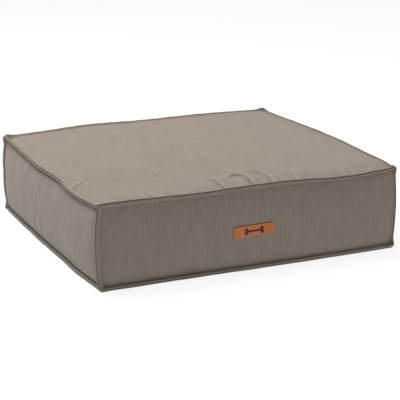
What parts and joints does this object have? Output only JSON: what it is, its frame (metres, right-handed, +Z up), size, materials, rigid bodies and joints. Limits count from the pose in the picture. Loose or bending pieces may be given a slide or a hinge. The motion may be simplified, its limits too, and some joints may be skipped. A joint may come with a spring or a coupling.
{
  "type": "pet cushion bed",
  "caption": "Boxed pet cushion bed: flanged-seam fabric cover with a leather patch and a rear zip, over a foam cushion wrapped in wadding.",
  "frame": {"origin": "on the floor, below the middle of the bed", "axes": "+X along the front face to the right as seen from the front, +Y to the back where the zip is, +Z up; the leather patch is on the -Y face"},
  "size_m": [0.6, 0.55, 0.162],
  "materials": {
    "cover_fabric": "slub weave, matt",
    "sewing_thread": "matt twisted thread",
    "label_leather": "smooth, slightly waxed",
    "care_satin": "satin",
    "zip_tape_fabric": "herringbone tape, matt",
    "zip_teeth_nylon": "moulded coil",
    "zip_metal": "dark nickel, satin",
    "liner_fabric": "non-woven, matt",
    "wadding": "fluffy fibre fill",
    "foam": "open-cell polyurethane foam"
  },
  "bodies": {
    "bed": {"top_panel": "cover_fabric", "bottom_panel": "cover_fabric", "front_panel": "cover_fabric", "left_panel": "cover_fabric", "right_panel": "cover_fabric", "back_panel_upper": "cover_fabric", "back_panel_lower": "cover_fabric", "top_seam_thread": "sewing_thread", "bottom_seam_thread": "sewing_thread", "corner_seam_thread": "sewing_thread", "zip_seam_thread": "sewing_thread", "label_patch": "label_leather", "label_thread": "sewing_thread", "care_label": "care_satin", "zip_tape_upper": "zip_tape_fabric", "zip_tape_lower": "zip_tape_fabric", "zip_teeth_upper": "zip_teeth_nylon", "zip_teeth_lower": "zip_teeth_nylon", "zip_stops": "zip_metal", "zip_end_tabs": "cover_fabric", "liner_top": "liner_fabric", "liner_bottom": "liner_fabric", "liner_band": "liner_fabric", "wadding_top": "wadding", "wadding_bottom": "wadding", "wadding_band": "wadding", "foam_core": "foam"},
    "slider": {"zip_slider": "zip_metal"},
    "pull": {"zip_pull": "zip_metal"}
  },
  "joints": [
    {"name": "zip_travel", "type": "slide", "parent": "bed", "child": "slider", "axis": [1, 0, 0], "range_m": [0, 0.5202]},
    {"name": "pull_swing", "type": "hinge", "parent": "slider", "child": "pull", "pos_m": [-0.2601, 0.2719, 0.0782], "axis": [0, 0, 1], "range_deg": [0, 172]}
  ]
}
